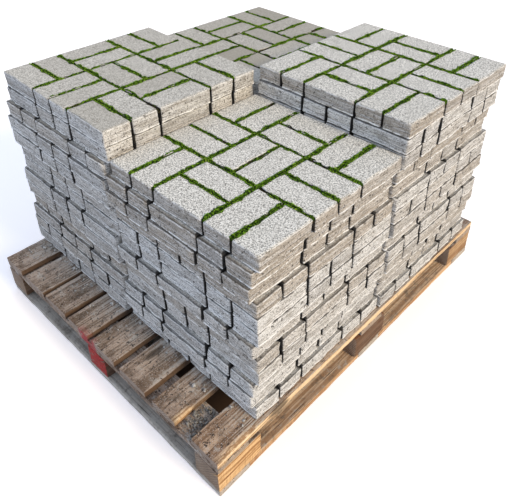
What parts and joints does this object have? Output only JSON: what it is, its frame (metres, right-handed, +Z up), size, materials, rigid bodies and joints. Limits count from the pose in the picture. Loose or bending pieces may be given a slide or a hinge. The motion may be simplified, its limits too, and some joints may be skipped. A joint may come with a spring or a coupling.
{
  "type": "pallet of grass pavers",
  "caption": "Wooden block pallet loaded with courses of rectangular concrete pavers in basket weave packs, moss grown in the joints of the uppermost stones.",
  "frame": {"origin": "middle of the pallet's underside, on the floor", "axes": "+Z up, +X along the deck boards away from the bare strip of deck, +Y across the deck boards"},
  "size_m": [1.2, 1.0297, 0.7412],
  "materials": {
    "concrete": "cast concrete, matt, speckled top and rough sides",
    "deck_wood": "rough sawn softwood, weathered and dirty",
    "foot_wood": "rough sawn softwood, greyed",
    "block_wood": "rough sawn softwood block",
    "red_wood": "softwood block with worn red paint on its outer face",
    "moss": "moss on soil, soft"
  },
  "bodies": {
    "root": {"block_1": "block_wood", "block_2": "red_wood", "block_3": "block_wood", "block_4": "block_wood", "block_5": "block_wood", "block_6": "block_wood", "block_7": "block_wood", "block_8": "block_wood", "block_9": "block_wood", "bottom_board_1": "foot_wood", "bottom_board_2": "foot_wood", "bottom_board_3": "foot_wood", "bottom_board_4": "foot_wood", "bottom_board_5": "foot_wood", "bottom_board_6": "foot_wood", "bottom_board_7": "foot_wood", "bottom_board_8": "foot_wood", "bottom_board_9": "foot_wood", "deck_board_1": "deck_wood", "deck_board_2": "deck_wood", "deck_board_3": "deck_wood", "deck_board_4": "deck_wood", "deck_board_5": "deck_wood", "deck_board_6": "deck_wood", "deck_board_7": "deck_wood", "deck_board_8": "deck_wood", "moss_back": "moss", "moss_front": "moss", "moss_left": "moss", "moss_right": "moss", "paver_course_1": "concrete", "paver_course_10": "concrete", "paver_course_11": "concrete", "paver_course_12": "concrete", "paver_course_13": "concrete", "paver_course_14": "concrete", "paver_course_2": "concrete", "paver_course_3": "concrete", "paver_course_4": "concrete", "paver_course_5": "concrete", "paver_course_6": "concrete", "paver_course_7": "concrete", "paver_course_8": "concrete", "paver_course_9": "concrete", "stringer_1": "deck_wood", "stringer_2": "deck_wood", "stringer_3": "deck_wood"}
  },
  "joints": []
}
